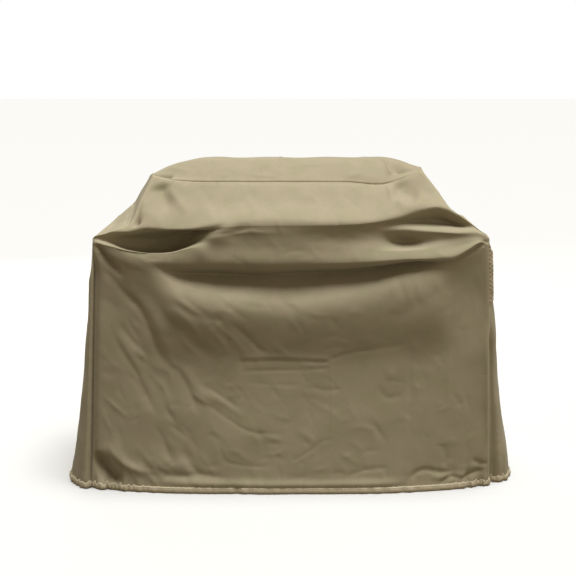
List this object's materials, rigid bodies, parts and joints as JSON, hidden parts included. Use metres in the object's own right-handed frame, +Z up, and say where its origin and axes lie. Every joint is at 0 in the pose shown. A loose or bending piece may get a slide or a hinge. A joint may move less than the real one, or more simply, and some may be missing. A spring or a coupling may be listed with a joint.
{
  "type": "grill cover",
  "caption": "Stepped fabric cover for a barbecue grill with a hood and side shelves, open underneath, with bound seams and a hem gathered by elastic at its corners.",
  "frame": {"origin": "on the floor, under the middle of the cover", "axes": "+X to the right seen from the front, along the width; -Y towards the front; +Z up"},
  "size_m": [1.5988, 0.6897, 1.13],
  "materials": {
    "cloth": "matte woven",
    "hem": "matte woven, rolled",
    "binding": "matte tape",
    "elastic": "matte ribbed"
  },
  "bodies": {
    "root": {"front_panel": "cloth", "back_panel": "cloth", "left_side_panel": "cloth", "right_side_panel": "cloth", "left_shoulder_panel": "cloth", "right_shoulder_panel": "cloth", "hood_panel": "cloth", "front_hem_channel": "hem", "back_hem_channel": "hem", "left_hem_channel": "hem", "right_hem_channel": "hem", "front_left_hem_elastic": "elastic", "front_right_hem_elastic": "elastic", "back_left_hem_elastic": "elastic", "back_right_hem_elastic": "elastic", "front_seam_binding": "binding", "back_seam_binding": "binding", "left_step_seam_binding": "binding", "right_step_seam_binding": "binding", "left_shelf_seam_binding": "binding", "right_shelf_seam_binding": "binding"}
  },
  "joints": []
}
